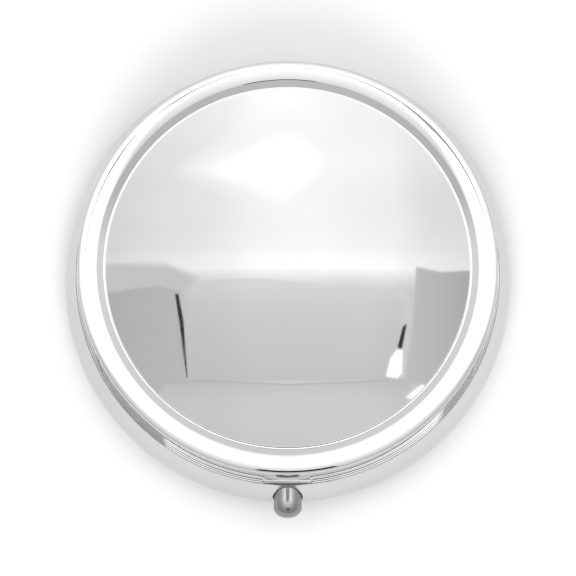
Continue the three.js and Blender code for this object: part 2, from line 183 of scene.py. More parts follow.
def rounded(corners, closed=False, steps=5):
    """Points of an outline given as (x, y, radius) corners, each rounded by a curve of that size.

    A guard point beside each end of a curve keeps the flat next to it flat when it is smooth shaded.
    """
    out = []
    last = len(corners) - 1
    for i, (x, y, r) in enumerate(corners):
        if r == 0 or (not closed and i in (0, last)):
            out.append((x, y))
            continue
        here = Vector((x, y))
        to_a = Vector(corners[i - 1][:2]) - here
        to_b = Vector(corners[(i + 1) % len(corners)][:2]) - here
        reach = min(r / math.tan(to_a.angle(to_b) / 2), 0.48 * to_a.length, 0.48 * to_b.length)
        start = here + to_a.normalized() * reach
        end = here + to_b.normalized() * reach
        guard = 0.04 * reach
        curve = [start + to_a.normalized() * guard]
        for k in range(steps + 1):
            t = k / steps
            curve.append(start * (1 - t) ** 2 + here * 2 * t * (1 - t) + end * t * t)
        curve.append(end + to_b.normalized() * guard)
        out += [(p.x, p.y) for p in curve]
    return out


def arc(r, start, end, steps):
    """Points on a circle about the origin between two angles in radians."""
    angles = [start + (end - start) * k / steps for k in range(steps + 1)]
    return [(r * math.cos(a), r * math.sin(a)) for a in angles]


# ---- solid helpers, all in millimetres ------------------------------------------------------

def turned(profile, segments=SEGMENTS):
    """Solid of revolution about Z from a closed (radius, height) profile."""
    bm = bmesh.new()
    rings = []
    for r, z in profile:
        count = segments if r > 1e-6 else 1
        angles = [2 * math.pi * k / segments for k in range(count)]
        rings.append([bm.verts.new((r * math.sin(a), -r * math.cos(a), z)) for a in angles])
    pairs = list(zip(rings, rings[1:]))
    if profile[0][0] > 0 or profile[-1][0] > 0:
        pairs.append((rings[-1], rings[0]))
    for a, b in pairs:
        if len(a) == len(b) == 1:
            continue
        for k in range(segments):
            n = (k + 1) % segments
            face = [a[k % len(a)], a[n % len(a)], b[n % len(b)], b[k % len(b)]]
            bm.faces.new(list(dict.fromkeys(face)))
    return bm


def skinned(loops):
    """Solid through closed loops of 3-D points that have equally many points."""
    bm = bmesh.new()
    loops = [[bm.verts.new(p) for p in loop] for loop in loops]
    for a, b in zip(loops, loops[1:]):
        for k in range(len(a)):
            n = (k + 1) % len(a)
            bm.faces.new([a[k], a[n], b[n], b[k]])
    bm.faces.new(loops[0])
    bm.faces.new(loops[-1])
    return bm


def lofted(sections):
    """Solid through (height, outline) sections whose outlines have equally many points."""
    return skinned([[(x, y, z) for x, y in outline] for z, outline in sections])


def folded(outline, x0, x1, edge=0.06):
    """Strip with a (y, z) side outline and width along X, its two side edges eased."""
    bm = lofted([(x0, outline), (x1, outline)])
    sides = [e for e in bm.edges if abs(e.verts[0].co.z - e.verts[1].co.z) < 1e-6]
    bmesh.ops.bevel(bm, geom=sides, offset=edge, segments=3, profile=0.5, affect="EDGES")
    swap = Matrix(((0, 0, 1, 0), (1, 0, 0, 0), (0, 1, 0, 0), (0, 0, 0, 1)))
    return move(bm, swap)


def move(bm, matrix):
    bmesh.ops.transform(bm, matrix=matrix, verts=bm.verts)
    return bm


def along_y(bm, z):
    """Lays a solid made about Z along +Y at height z."""
    return move(bm, Matrix.Translation((0, 0, z)) @ Matrix.Rotation(-math.pi / 2, 4, "X"))


def along_hinge(bm):
    """Lays a solid made about Z along +X on the hinge axis."""
    return move(bm, Matrix.Translation(HINGE) @ Matrix.Rotation(math.pi / 2, 4, "Y"))


def box(x0, x1, y0, y1, z0, z1):
    bm = bmesh.new()
    bmesh.ops.create_cube(bm, size=1)
    centre = Vector(((x0 + x1) / 2, (y0 + y1) / 2, (z0 + z1) / 2))
    return move(bm, Matrix.Translation(centre) @ Matrix.Diagonal((x1 - x0, y1 - y0, z1 - z0, 1)))


def drill(r, z0, z1, x=0.0, y=0.0, flare=0.0):
    """Round cutting tool about Z, opening out by flare at its top end."""
    profile = [(0, z0), (r, z0), (r, z1 - 2 * flare), (r + flare, z1 - flare), (r + flare, z1), (0, z1)]
    return move(turned(profile if flare else [*profile[:2], *profile[4:]], 48), Matrix.Translation((x, y, 0)))


def make_object(bm, name, material):
    """Blender object in metres from a bmesh in millimetres."""
    bmesh.ops.recalc_face_normals(bm, faces=bm.faces)
    bmesh.ops.scale(bm, vec=(MM, MM, MM), verts=bm.verts)
    mesh = bpy.data.meshes.new(name)
    bm.to_mesh(mesh)
    bm.free()
    if material:
        mesh.materials.append(material)
    obj = bpy.data.objects.new(name, mesh)
    bpy.context.scene.collection.objects.link(obj)
    return obj


def boolean(target, bm, operation):
    """Joins a solid to an object or cuts it away, and keeps the object's one material."""
    tool = make_object(bm, "tool", None)
    modifier = target.modifiers.new("boolean", "BOOLEAN")
    modifier.operation = operation
    modifier.solver = "EXACT"
    modifier.object = tool
    evaluated = target.evaluated_get(bpy.context.evaluated_depsgraph_get())
    mesh = bpy.data.meshes.new_from_object(evaluated)
    target.modifiers.clear()
    finish = target.data.materials[0]
    target.data = mesh
    mesh.materials.clear()
    mesh.materials.append(finish)
    bpy.data.objects.remove(tool)


def part(name, body, nodes, material, bm, cut=(), join=(), angle=30):
    """One finished piece: joined and cut, shaded, riding on its body and standing for its CAD nodes."""
    obj = make_object(bm, name, material)
    for tool in join:
        boolean(obj, tool, "UNION")
    for tool in cut:
        boolean(obj, tool, "DIFFERENCE")
    obj.data.shade_smooth()
    obj.data.set_sharp_from_angle(angle=math.radians(angle))
    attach(obj, body)
    if nodes:
        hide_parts(*nodes)
    return obj


# ---- materials ------------------------------------------------------------------------------

def material(name):
    mat = bpy.data.materials.new(name)
    mat.use_nodes = True
    tree = mat.node_tree
    tree.nodes.clear()
    out = tree.nodes.new("ShaderNodeOutputMaterial")
    bsdf = tree.nodes.new("ShaderNodeBsdfPrincipled")
    tree.links.new(bsdf.outputs["BSDF"], out.inputs["Surface"])
    return mat, tree, bsdf


def noise(tree, scale, detail=4.0, stretch=None):
    """A noise texture in object coordinates, optionally stretched."""
    coords = tree.nodes.new("ShaderNodeTexCoord")
    tex = tree.nodes.new("ShaderNodeTexNoise")
    tex.inputs["Scale"].default_value = scale
    tex.inputs["Detail"].default_value = detail
    source = coords.outputs["Object"]
    if stretch:
        mapping = tree.nodes.new("ShaderNodeMapping")
        mapping.inputs["Scale"].default_value = stretch
        tree.links.new(source, mapping.inputs["Vector"])
        source = mapping.outputs["Vector"]
    tree.links.new(source, tex.inputs["Vector"])
    return tex.outputs["Fac"]


def ramp(tree, value, stops):
    """Colour ramp through (position, colour or grey level) stops."""
    node = tree.nodes.new("ShaderNodeValToRGB")
    elements = node.color_ramp.elements
    for k, (at, colour) in enumerate(stops):
        element = elements[k] if k < 2 else elements.new(at)
        element.position = at
        element.color = (*colour, 1) if isinstance(colour, tuple) else (colour, colour, colour, 1)
    tree.links.new(value, node.inputs["Fac"])
    return node.outputs["Color"]


def to_range(tree, value, low, high, start=0.0, end=1.0):
    node = tree.nodes.new("ShaderNodeMapRange")
    node.inputs["From Min"].default_value = start
    node.inputs["From Max"].default_value = end
    node.inputs["To Min"].default_value = low
    node.inputs["To Max"].default_value = high
    tree.links.new(value, node.inputs["Value"])
    return node.outputs["Result"]


def bump(tree, bsdf, height, strength, distance):
    node = tree.nodes.new("ShaderNodeBump")
    node.inputs["Strength"].default_value = strength
    node.inputs["Distance"].default_value = distance
    tree.links.new(height, node.inputs["Height"])
    tree.links.new(node.outputs["Normal"], bsdf.inputs["Normal"])


def metal(name, dark, light, rough, grain=900.0, ripple=0.0, stretch=None):
    """Plated or bare metal: faint tone change, uneven polish and a trace of waviness."""
    mat, tree, bsdf = material(name)
    bsdf.inputs["Metallic"].default_value = 1.0
    tone = noise(tree, 60.0, 3.0)
    tree.links.new(ramp(tree, tone, [(0.3, dark), (0.7, light)]), bsdf.inputs["Base Color"])
    polish = noise(tree, grain, 5.0, stretch)
    tree.links.new(to_range(tree, polish, *rough), bsdf.inputs["Roughness"])
    if ripple:
        bump(tree, bsdf, noise(tree, 90.0, 2.0), 1.0, ripple)
    return mat


def plastic(name, dark, light, rough):
    mat, tree, bsdf = material(name)
    tone = noise(tree, 140.0, 4.0)
    tree.links.new(ramp(tree, tone, [(0.3, dark), (0.7, light)]), bsdf.inputs["Base Color"])
    tree.links.new(to_range(tree, noise(tree, 2500.0, 2.0), *rough), bsdf.inputs["Roughness"])
    bump(tree, bsdf, noise(tree, 3000.0, 2.0), 0.25, 0.00002)
    return mat


CHROME = metal("polished_plate", (0.55, 0.555, 0.557), (0.58, 0.585, 0.587), (0.015, 0.05), ripple=0.0000015)
INLAY = metal("polished_inlay", (0.665, 0.67, 0.672), (0.685, 0.69, 0.692), (0.01, 0.03), ripple=0.000001)
STEEL = metal("satin_steel", (0.42, 0.43, 0.45), (0.56, 0.57, 0.59), (0.22, 0.4), stretch=(1, 1, 12))
DARK = metal("dark_nickel", (0.23, 0.23, 0.232), (0.26, 0.26, 0.262), (0.14, 0.18))
BRASS = metal("turned_brass", (0.6, 0.46, 0.22), (0.74, 0.6, 0.33), (0.2, 0.36))
GLASS = metal("silvered_glass", (0.84, 0.88, 0.88), (0.87, 0.9, 0.9), (0.004, 0.012))
TRAY = plastic("moulded_tray", (0.8, 0.78, 0.73), (0.87, 0.855, 0.81), (0.28, 0.42))
GLUE = plastic("cured_adhesive", (0.66, 0.6, 0.44), (0.76, 0.7, 0.54), (0.4, 0.6))


# ---- base -----------------------------------------------------------------------------------

def base_rivet_turn(side):
    """Places a solid made about Z radially through the collar at a hinge rivet."""
    return (
        Matrix.Rotation(-side * BASE_RIVET_ANGLE, 4, "Z")
        @ Matrix.Translation((0, 0, BASE_RIVET_Z))
        @ Matrix.Rotation(-math.pi / 2, 4, "X")
    )


def base_rivet_holes():
    return [move(drill(RIVET_HOLE_R, 20, 26), base_rivet_turn(side)) for side in (-1, 1)]


def rivet_holes(place, z0, z1):
    """Pair of upright rivet holes at (x, y) and its mirror image."""
    x, y = place
    return [drill(RIVET_HOLE_R, z0, z1, side * x, y) for side in (-1, 1)]


def make_base_shell():
    outer = bezier(*BASE_BOWL, 28)[:-1] + bezier(*BASE_WAIST, 20)
    inner = smooth(BASE_INNER, 6)
    rim = rounded([
        (*outer[-1], 0), *[(*p, 0.02) for p in BASE_LIP], (RIM_BORE, RIM_Z, 0.1), (RIM_BORE, 7.8, 0.05),
        (*inner[-1], 0),
    ])
    profile = [(0, 0), (21.0, 0), *outer[:-1], *rim[:-1], *reversed(inner), (0, FLOOR_Z)]
    hole = along_y(drill(BUTTON_HOLE_R, 22.0, 30.0), BUTTON_Z)
    hole = move(hole, Matrix.Rotation(math.pi, 4, "Z"))
    notch = box(-NOTCH_HALF, NOTCH_HALF, 22.6, 28, NOTCH_BASE_Z, 9.6)
    cuts = [hole, notch, *rivet_holes(LATCH_RIVET, -1, 2)]
    part("base_bowl", "base", ["base_shell"], CHROME, turned(profile), cuts)


def make_collar():
    r_in, r_out = COLLAR_R
    z0, z1 = COLLAR_Z
    profile = rounded([(r_in, z0, 0.1), (r_out, z0, 0.1), (r_out, z1, 0.18), (r_in, z1, 0.18)], closed=True)
    cuts = [
        box(-COLLAR_GAP_HALF, COLLAR_GAP_HALF, -25, -20, 0, 12),
        box(-NOTCH_HALF, NOTCH_HALF, 20, 25, NOTCH_BASE_Z, 12),
        *base_rivet_holes(),
    ]
    part("locating_collar", "base", ["base_collar"], STEEL, turned(profile), cuts)


# ---- tray -----------------------------------------------------------------------------------

def well_outline(k, inset):
    """Outline of well k drawn in by inset, between two ribs and the outer wall.

    Wells 0 and 2, at the front, also go round the wall of the latch pocket.
    """
    if k == 2:
        return [(-x, y) for x, y in reversed(well_outline(0, inset))]
    rib = RIB_HALF + inset
    r = WELL_R - inset
    start = math.radians(-90 + 120 * k)
    end = start + math.radians(120)
    apex = rib / math.sin(math.radians(60))
    middle = (start + end) / 2
    corners = [(apex * math.cos(middle), apex * math.sin(middle), WELL_CORNER)]
    first = start + math.asin(rib / r)
    if k == 0:
        pocket_x, pocket_y = POCKET_WALL_HALF + inset, -POCKET_WALL_Y + inset
        first = -math.acos(pocket_x / r)
        corners += [(rib, pocket_y, WELL_CORNER), (pocket_x, pocket_y, WELL_CORNER)]
    wall = arc(r, first, end - math.asin(rib / r), 30)
    corners += [(*p, WELL_CORNER if i in (0, 30) else 0) for i, p in enumerate(wall)]
    return rounded(corners, closed=True, steps=6)


def well_tool(k):
    """Cutter for one well: filleted floor, plain walls and an eased top edge."""
    steps = 6
    top = TRAY_Z[1]
    sections = []
    for i in range(steps, -1, -1):
        a = math.pi / 2 * i / steps
        inset = WELL_FLOOR_FILLET * (1 - math.cos(a))
        sections.append((WELL_FLOOR_Z + WELL_FLOOR_FILLET * (1 - math.sin(a)), well_outline(k, inset)))
    for i in range(steps + 1):
        a = math.pi / 2 * i / steps
        inset = -WELL_EDGE_FILLET * (1 - math.cos(a))
        sections.append((top - WELL_EDGE_FILLET * (1 - math.sin(a)), well_outline(k, inset)))
    sections.append((top + 1, well_outline(k, -WELL_EDGE_FILLET)))
    return lofted(sections)


def make_tray():
    z0, z1 = TRAY_Z
    profile = [(0, z0), *rounded([
        (18.0, z0, 0), (20.3, z0, 0.3), (TRAY_R, z0 + 1.3, 0.5), (TRAY_R, FLANGE_Z, 0),
        (FLANGE_R, FLANGE_Z, 0.08), (FLANGE_R, z1, 0.2), (21.4, z1, 0),
    ]), (0, z1)]
    cuts = [well_tool(k) for k in range(3)]
    cuts.append(box(-POCKET_HALF, POCKET_HALF, -25, POCKET_Y, 0, FLANGE_Z))
    cuts.append(box(-SLOT_HALF, SLOT_HALF, -25, SLOT_Y, 0, z1 + 1))
    part("compartment_tray", "base", ["compartment_tray"], TRAY, turned(profile), cuts)


# ---- hinge ----------------------------------------------------------------------------------

def make_hinge_leaf(name, body, nodes, plate, knuckle_x, arm, cut):
    """A leaf with a pair of knuckles, each carried on an arm with the given (y, z) outline."""
    joins = []
    x0, x1 = knuckle_x
    for a, b in ((x0, x1), (-x1, -x0)):
        barrel = turned([(0, a), (KNUCKLE_R, a), (KNUCKLE_R, b), (0, b)], 64)
        joins += [folded(arm, a, b, 0.04), along_hinge(barrel)]
    bore = along_hinge(drill(KNUCKLE_BORE, -6, 6))
    part(name, body, nodes, CHROME, plate, [bore, *cut], joins)


def make_base_leaf():
    """Curved plate against the collar, with the two outer knuckles."""
    r_in, r_out = 23.25, 23.75
    angle = math.asin(2 * BASE_KNUCKLE[1] / (r_in + r_out))
    outline = arc(r_out, math.pi / 2 - angle, math.pi / 2 + angle, 16)
    outline += arc(r_in, math.pi / 2 + angle, math.pi / 2 - angle, 16)
    plate = lofted([(4.4, outline), (7.5, outline)])
    arm = rounded([(23.12, 7.0, 0.08), (23.9, 7.0, 0.1), (24.0, 8.25, 0), (23.15, 8.25, 0)], closed=True)
    holes = base_rivet_holes()
    make_hinge_leaf("base_hinge_leaf", "base", ["base_hinge_leaf"], plate, BASE_KNUCKLE, arm, holes)


def make_lid_leaf():
    """Strap under the lid, folded down to the two inner knuckles."""
    half = LID_KNUCKLE[1]
    y0, y1 = 22.45, 22.95
    strap = rounded([
        (STRAP_END, LID_CEILING_Z - STRAP_T, 0.1), (y0, LID_CEILING_Z - STRAP_T, 0.25), (y0, 9.5, 0.05),
        (y1, 9.5, 0.05), (y1, LID_CEILING_Z, 0.45), (STRAP_END, LID_CEILING_Z, 0.05),
    ], closed=True)
    arm = rounded([
        (y0, 9.0, 0.05), (23.55, 9.0, 0), (23.75, 9.45, 0.1), (y1, 9.7, 0), (y0, 9.7, 0),
    ], closed=True)
    plate = folded(strap, -half, half)
    holes = rivet_holes(LID_RIVET, 11, 14)
    make_hinge_leaf("lid_hinge_leaf", "lid", ["lid_hinge_leaf"], plate, LID_KNUCKLE, arm, holes)


def make_hinge_pin():
    end = BASE_KNUCKLE[1] + 0.03
    head = rounded([(PIN_R, end, 0), (0.52, end, 0.05), (0.52, end + 0.2, 0.14), (0, end + 0.2, 0)])
    profile = [*[(r, -x) for r, x in reversed(head)], *head]
    part("hinge_pin", "base", ["hinge_pin"], STEEL, along_hinge(turned(profile, 48)))


def make_spring():
    """Round wire wound about the hinge pin, with one leg down behind the base and one in under the lid."""
    x0, y0, z0 = HINGE
    points = [(-SPRING_HALF, y0 + SPRING_R, z) for z in (6.7, 7.4, 8.1)]
    steps = round(SPRING_TURNS * 16)
    for i in range(steps + 1):
        a = 2 * math.pi * i / 16
        x = -SPRING_HALF + 2 * SPRING_HALF * i / steps
        points.append((x, y0 + SPRING_R * math.cos(a), z0 + SPRING_R * math.sin(a)))
    points += [(SPRING_HALF, y, z0 + SPRING_R) for y in (23.3, 22.85, 22.4)]
    curve = bpy.data.curves.new("hinge_spring", "CURVE")
    curve.dimensions = "3D"
    curve.bevel_depth = SPRING_WIRE * MM
    curve.bevel_resolution = 4
    curve.use_fill_caps = True
    spline = curve.splines.new("POLY")
    spline.points.add(len(points) - 1)
    for point, place in zip(spline.points, points):
        point.co = (*(v * MM for v in place), 1)
    curve.materials.append(STEEL)
    spring = bpy.data.objects.new("hinge_spring", curve)
    bpy.context.scene.collection.objects.link(spring)
    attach(spring, "base")
    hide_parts("hinge_spring")


# ---- lid ------------------------------------------------------------------------------------

def thumb_lip():
    """Shallow flare for a thumbnail on the skirt edge: its face is a border round a dished panel."""
    foot, top = LIP_HALF
    low, high = LIP_Z
    face = rounded([(-foot, low, 0.2), (foot, low, 0.2), (top, high, 0.1), (-top, high, 0.1)], closed=True)
    middle = Vector((0, (low + high) / 2))
    half_height = (high - low) / 2

    def depth(z):
        """Leans back to the skirt above z 8.95."""
        return -24.42 + 0.37 * max(0.0, (z - 8.95) / 0.45)

    def layer(inset, sink):
        shrink = Vector((1 - inset / foot, 1 - inset / half_height))
        points = [middle + (Vector(p) - middle) * shrink for p in face]
        return [(p.x, depth(p.y) + sink, p.y) for p in points]

    root = [(x, -23.7, z) for x, z in face]
    return skinned([root, layer(0, 0.05), layer(0.04, 0), layer(0.07, 0), layer(0.08, 0.02)])


def make_lid_shell():
    """Skirt, rounded ring, bead and floor for the inlay, with the hinge notch and the thumb lip."""
    ring = arc_chain((LID_R, RING_FOOT_Z), -math.pi / 2, RING_ARCS, 16)
    skirt = rounded([(23.45, SKIRT_Z, 0), (LID_R, SKIRT_Z, 0.1), (*ring[0], 0)])
    guard = tuple(a + (b - a) * 0.03 for a, b in zip(ring[-1], RING_BEAD[0]))
    bead = [(*p, 0.02) for p in RING_BEAD]
    foot = rounded([(*guard, 0), *bead, (20.95, LID_FLOOR_Z, 0.02), (20.5, LID_FLOOR_Z, 0)])
    inner = smooth(LID_INNER, 5)
    outside = [*skirt[1:-1], (LID_R, RING_FOOT_Z - 0.05), *ring, *foot]
    lid = turned([*outside, (0, LID_FLOOR_Z), (0, LID_CEILING_Z), *inner])
    notch = box(-NOTCH_HALF, NOTCH_HALF, 22, 26, 8, NOTCH_LID_Z)
    cuts = [notch, *rivet_holes(CATCH_RIVET, 11, 14), *rivet_holes(LID_RIVET, 11, 14)]
    part("lid_cover", "lid", ["lid_shell"], CHROME, lid, cuts, [thumb_lip()])


def make_inlay():
    """Shallow dome with a fine eased edge."""
    rise = INLAY_TOP_Z - INLAY_EDGE_Z
    back = LID_FLOOR_Z + 0.1
    dome = [(INLAY_R * (1 - k / 48), INLAY_EDGE_Z + rise * (1 - (1 - k / 48) ** 2)) for k in range(49)]
    edge = rounded([(INLAY_R, back, 0), (INLAY_R, INLAY_EDGE_Z, 0.06), (*dome[2], 0)])
    profile = [(0, back), *edge[:-1], *dome[2:]]
    part("domed_inlay", "lid", ["lid_inlay"], INLAY, turned(profile))


def make_mirror():
    r_lip, r_seat, r_out = BEZEL_R
    z0, z1 = BEZEL_Z
    profile = rounded([
        (r_lip, z0 + 0.08, 0.06), (r_lip + 0.2, z0, 0.08), (r_out - 0.32, z0, 0.15), (r_out, z0 + 0.34, 0.2),
        (r_out, LID_CEILING_Z, 0), (r_seat, LID_CEILING_Z, 0), (r_seat, z1, 0.02), (r_lip, z1, 0.02),
    ], closed=True)
    part("mirror_bezel", "lid", ["mirror_bezel"], CHROME, turned(profile, 192))
    low, high = MIRROR_Z
    rim = rounded([(MIRROR_R - 1, low, 0), (MIRROR_R, low, 0.1), (MIRROR_R, high, 0)])
    glass = turned([(0, low), *rim, (0, high)], 192)
    part("mirror", "lid", ["mirror"], GLASS, glass)


def make_catch():
    """Strap under the lid, folded down and back to a nose for the latch hook."""
    y0, y1 = -22.6, -22.0
    z0, z1 = 7.1, 7.6
    outline = rounded([
        (-STRAP_END, LID_CEILING_Z, 0.05), (y0, LID_CEILING_Z, 0.5), (y0, z0, 0.3), (-21.65, z0, 0.08),
        (-21.3, z0 + 0.3, 0.05), (-21.3, z1, 0.05), (y1, z1, 0.1), (y1, LID_CEILING_Z - STRAP_T, 0.25),
        (-STRAP_END, LID_CEILING_Z - STRAP_T, 0.1),
    ], closed=True)
    strap = folded(outline, -2.0, 2.0)
    part("lid_catch", "lid", ["lid_catch"], STEEL, strap, rivet_holes(CATCH_RIVET, 11, 14))


# ---- rivets ---------------------------------------------------------------------------------

def rivet(tail, head):
    """Plain shank from tail, domed head at the other end, about Z."""
    up = 1 if head > tail else -1
    under = head - up * RIVET_HEAD_T
    profile = [(0, tail), *rounded([
        (0.2, tail, 0), (RIVET_R, tail, 0.05), (RIVET_R, under, 0), (RIVET_HEAD_R, under, 0.04),
        (RIVET_HEAD_R, head, 0.3), (0, head, 0),
    ])]
    return turned(profile, 48)


def upright(side, place):
    """Places a solid made about Z at (x, y) on the right, or at its mirror image on the left."""
    x, y = place
    return Matrix.Translation((side * x, y, 0))


def make_rivets():
    head = LID_CEILING_Z - STRAP_T - RIVET_HEAD_T
    tail = LID_FLOOR_Z - 0.02
    for label, side in (("left", -1), ("right", 1)):
        placed = [
            ("base_hinge_rivet", "base", rivet(23.8, 22.1), base_rivet_turn(side)),
            ("latch_rivet", "base", rivet(0.02, 1.4), upright(side, LATCH_RIVET)),
            ("lid_hinge_rivet", "lid", rivet(tail, head), upright(side, LID_RIVET)),
            ("catch_rivet", "lid", rivet(tail, head), upright(side, CATCH_RIVET)),
        ]
        for kind, body, bm, place in placed:
            name = f"{kind}_{label}"
            part(name, body, [name], STEEL, move(bm, place))


# ---- button and latch -----------------------------------------------------------------------

def make_button():
    """Domed barrel with two ears that keep it in, drilled for its stem."""
    nose = smooth([(0, -28.1), (0.6, -28.02), (1.1, -27.78), (1.45, -27.42), (BUTTON_R, -27.05)], 6)
    barrel = rounded([(BUTTON_R, -26, 0), (BUTTON_R, BUTTON_BACK_Y, 0.1), (0, BUTTON_BACK_Y, 0)])
    body = along_y(turned([*nose, *barrel], 96), BUTTON_Z)
    ears = box(-EAR_HALF, EAR_HALF, *EAR_Y, *EAR_Z)
    socket = along_y(drill(SOCKET_R, -24.5, -22), BUTTON_Z)
    part("button_cap", "button", ["button_cap"], DARK, body, [socket], [ears])


def make_latch():
    """Upright spring arm with a hook at its top, and the foot that is riveted to the floor."""
    y0, y1 = LATCH_Y
    outline = rounded([
        (y0, 1.2, 0.05), (y1, 1.2, 0.05), (y1, LATCH_TOP_Z, 0.35), (-21.5, LATCH_TOP_Z, 0.2),
        (HOOK_Y, 7.77, 0.05), (HOOK_Y, HOOK_Z, 0.03), (y0, HOOK_Z, 0.1),
    ], closed=True)
    arm = folded(outline, -LATCH_HALF, LATCH_HALF)
    part("latch_arm", "latch", ["latch_arm"], STEEL, arm)
    low, high = FLOOR_Z + 0.01, FLOOR_Z + 0.3
    outline = rounded([(y0, low, 0.02), (-18.9, low, 0.05), (-18.9, high, 0.1), (y0, high, 0.1)], closed=True)
    foot = folded(outline, -LATCH_HALF, LATCH_HALF)
    part("latch_foot", "base", ["latch_foot"], STEEL, foot, rivet_holes(LATCH_RIVET, 0, 2))


make_base_shell()
make_collar()
make_tray()
make_base_leaf()
make_lid_leaf()
make_hinge_pin()
make_spring()
make_lid_shell()
make_inlay()
make_mirror()
make_catch()
make_rivets()
make_button()
make_latch()

HIDDEN_FINISH = {"button_bush": BRASS, "inlay_adhesive": GLUE, "mirror_adhesive": GLUE}
for node, obj in frame["nodes"].items():
    obj.data.materials.clear()
    obj.data.materials.append(HIDDEN_FINISH.get(node, STEEL))


# ---- studio ---------------------------------------------------------------------------------

CAMERA_ELEVATION = math.radians(79.5)
CAMERA_DISTANCE = 0.5
CAMERA_TARGET = Vector((0.00003, 0, -0.00029))
CAMERA_BACK = Vector((0, -math.cos(CAMERA_ELEVATION), math.sin(CAMERA_ELEVATION)))
CAMERA_LENS = 265.7
CEILING = 0.9
REACH = 20
PLATE_REFLECTANCE = 0.675
FLAG_ZENITH = (35, 53)
FLAG_TURN = (-12, 18)
KEY_PLACE = Vector((0, -0.7, 0.7))
FLOOR_HALF = 1500


def make_camera():
    data = bpy.data.cameras.new("camera")
    data.lens = CAMERA_LENS
    data.sensor_width = 36.0
    data.clip_start = 0.01
    data.clip_end = 20
    camera = bpy.data.objects.new("camera", data)
    bpy.context.scene.collection.objects.link(camera)
    camera.location = CAMERA_TARGET + CAMERA_BACK * CAMERA_DISTANCE
    camera.rotation_mode = "QUATERNION"
    camera.rotation_quaternion = (-CAMERA_BACK).to_track_quat("-Z", "Y")
    bpy.context.scene.camera = camera


def overhead(x, y, height):
    """Point at a height in metres that shows, from the camera, at (x, y) mm on the domed inlay."""
    rise = INLAY_TOP_Z - INLAY_EDGE_Z
    share = (x * x + y * y) / INLAY_R ** 2
    place = Vector((x, y, INLAY_EDGE_Z + rise * (1 - share))) * MM
    normal = Vector((2 * rise * x / INLAY_R ** 2, 2 * rise * y / INLAY_R ** 2, 1)).normalized()
    sight = (place - (CAMERA_TARGET + CAMERA_BACK * CAMERA_DISTANCE)).normalized()
    bounce = sight.reflect(normal)
    return place + bounce * ((height - place.z) / bounce.z)


def luminance(level):
    """Radiance that a polished plate shows as a display level from 0 to 1."""
    linear = ((level + 0.055) / 1.055) ** 2.4 if level > 0.04 else level / 12.92
    return linear / PLATE_REFLECTANCE


def light_material(name, make_colour):
    """Glow whose edge fades by the mesh's "fade" attribute."""
    mat = bpy.data.materials.new(name)
    mat.use_nodes = True
    tree = mat.node_tree
    tree.nodes.clear()
    out = tree.nodes.new("ShaderNodeOutputMaterial")
    glow = tree.nodes.new("ShaderNodeEmission")
    clear = tree.nodes.new("ShaderNodeBsdfTransparent")
    mix = tree.nodes.new("ShaderNodeMixShader")
    fade = tree.nodes.new("ShaderNodeAttribute")
    fade.attribute_name = "fade"
    make_colour(tree, glow)
    tree.links.new(fade.outputs["Fac"], mix.inputs["Fac"])
    tree.links.new(clear.outputs["BSDF"], mix.inputs[1])
    tree.links.new(glow.outputs["Emission"], mix.inputs[2])
    tree.links.new(mix.outputs["Shader"], out.inputs["Surface"])
    return mat


def stage_object(name, bm, mat):
    """Studio piece in metres, seen only in reflections."""
    mesh = bpy.data.meshes.new(name)
    bm.to_mesh(mesh)
    bm.free()
    mesh.materials.append(mat)
    obj = bpy.data.objects.new(name, mesh)
    bpy.context.scene.collection.objects.link(obj)
    obj.visible_camera = False
    obj.visible_shadow = False
    obj.visible_diffuse = False


def panel(name, outline, drop, level, feather=0.15, make_colour=None):
    """Studio panel hung drop mm below the ceiling; its outline is where it shows on the inlay, in mm."""
    height = CEILING - drop * MM

    def plain(tree, glow):
        glow.inputs["Strength"].default_value = luminance(level)

    centre = Vector((0, 0))
    for x, y in outline:
        centre += Vector((x, y)) / len(outline)
    bm = bmesh.new()
    fade = bm.verts.layers.float.new("fade")
    rings = []
    for grow, value in ((-feather, 1.0), (feather, 0.0)):
        row = []
        for x, y in outline:
            out = Vector((x, y)) - centre
            p = Vector((x, y)) + out.normalized() * grow
            vert = bm.verts.new(overhead(p.x, p.y, height))
            vert[fade] = value
            row.append(vert)
        rings.append(row)
    inner, outer = rings
    for k in range(len(inner)):
        n = (k + 1) % len(inner)
        bm.faces.new([inner[k], inner[n], outer[n], outer[k]])
    bmesh.ops.triangulate(bm, faces=[bm.faces.new(inner)])
    stage_object(name, bm, light_material(name, make_colour or plain))


def make_flag():
    """Narrow black flag standing low on the camera's side, which draws the thin dark line round the lid."""
    def point(turn, zenith):
        return (math.sin(zenith) * math.sin(turn), -math.sin(zenith) * math.cos(turn), math.cos(zenith))

    bm = bmesh.new()
    fade = bm.verts.layers.float.new("fade")
    rows = []
    for zenith in FLAG_ZENITH:
        row = []
        for turn in range(FLAG_TURN[0], FLAG_TURN[1] + 1, 2):
            vert = bm.verts.new(point(math.radians(turn), math.radians(zenith)))
            vert[fade] = 0.0 if turn in FLAG_TURN else 1.0
            row.append(vert)
        rows.append(row)
    low, high = rows
    for k in range(len(low) - 1):
        bm.faces.new([low[k], low[k + 1], high[k + 1], high[k]])

    def black(tree, glow):
        glow.inputs["Strength"].default_value = 0.02

    stage_object("flag", bm, light_material("flag", black))


def inlay_coordinates(tree):
    """Nodes that give 0 to 1 across and along the part of the studio ceiling that the inlay shows."""
    place = tree.nodes.new("ShaderNodeTexCoord")
    split = tree.nodes.new("ShaderNodeSeparateXYZ")
    tree.links.new(place.outputs["Object"], split.inputs["Vector"])
    left, right = overhead(-REACH, 0, CEILING), overhead(REACH, 0, CEILING)
    near, far = overhead(0, -REACH, CEILING), overhead(0, REACH, CEILING)
    across = to_range(tree, split.outputs["X"], 0, 1, left.x, right.x)
    along = to_range(tree, split.outputs["Y"], 0, 1, near.y, far.y)
    return across, along


